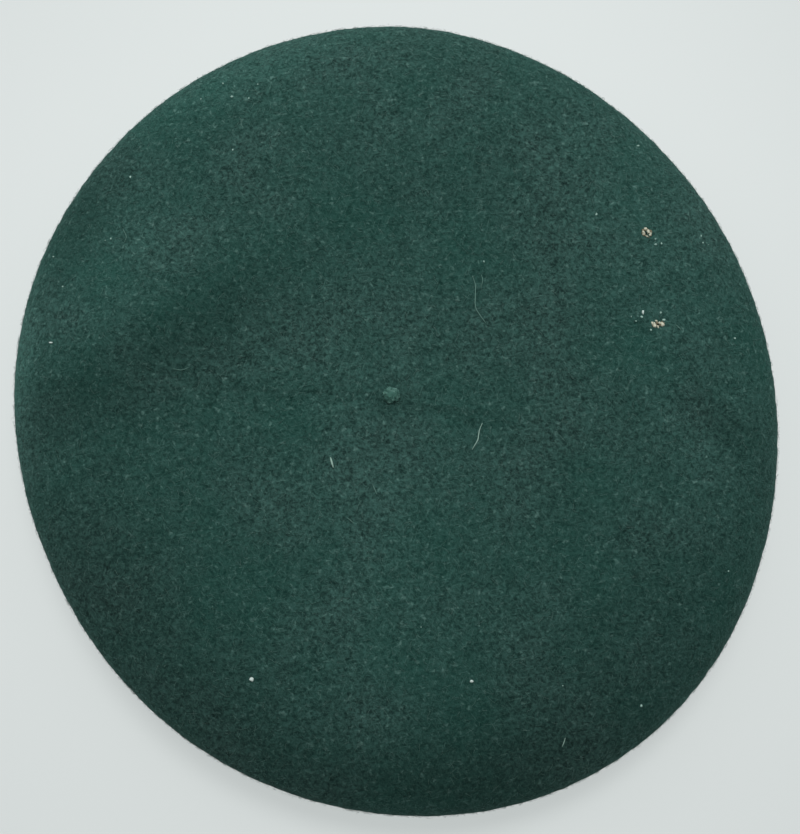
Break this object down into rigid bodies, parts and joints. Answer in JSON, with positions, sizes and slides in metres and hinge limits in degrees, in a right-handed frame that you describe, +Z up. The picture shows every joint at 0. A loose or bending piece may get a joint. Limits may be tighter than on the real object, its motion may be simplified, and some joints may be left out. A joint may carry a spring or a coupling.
{
  "type": "beret",
  "caption": "Round felted-wool beret lying crown up, with a short nub, a leather edge binding, a tied drawstring, a woven lining, a badge stiffener and vent eyelets.",
  "frame": {"origin": "on the surface that the binding's foot stands on, under the middle of the crown's box", "axes": "+Z up through the crown, +X to the wearer's front, +Y to the wearer's left"},
  "size_m": [0.2626, 0.2761, 0.047],
  "materials": {
    "felt": "dark green felted wool with a short soft nap",
    "lining": "black plain-weave cotton",
    "thread": "black twisted sewing thread",
    "buckram": "stiffened open-weave buckram",
    "leather": "thin black leather with a fine grain and a low gloss",
    "tape": "flat black woven cotton tape",
    "label": "off-white woven tape, blank",
    "japanned_brass": "brass with a black lacquer"
  },
  "bodies": {
    "root": {"crown_felt_shell": "felt", "crown_nub": "felt", "lining_tip": "lining", "lining_side": "lining", "lining_seam_thread": "thread", "badge_stiffener": "buckram", "edge_binding": "leather", "drawstring": "tape", "binding_needle_thread": "thread", "binding_bobbin_thread": "thread", "bartack_left": "thread", "bartack_right": "thread", "lining_label": "label", "lining_label_thread": "thread", "size_label": "label", "vent_eyelet_front": "japanned_brass", "vent_eyelet_rear": "japanned_brass", "vent_washer_front": "japanned_brass", "vent_washer_rear": "japanned_brass"}
  },
  "joints": []
}
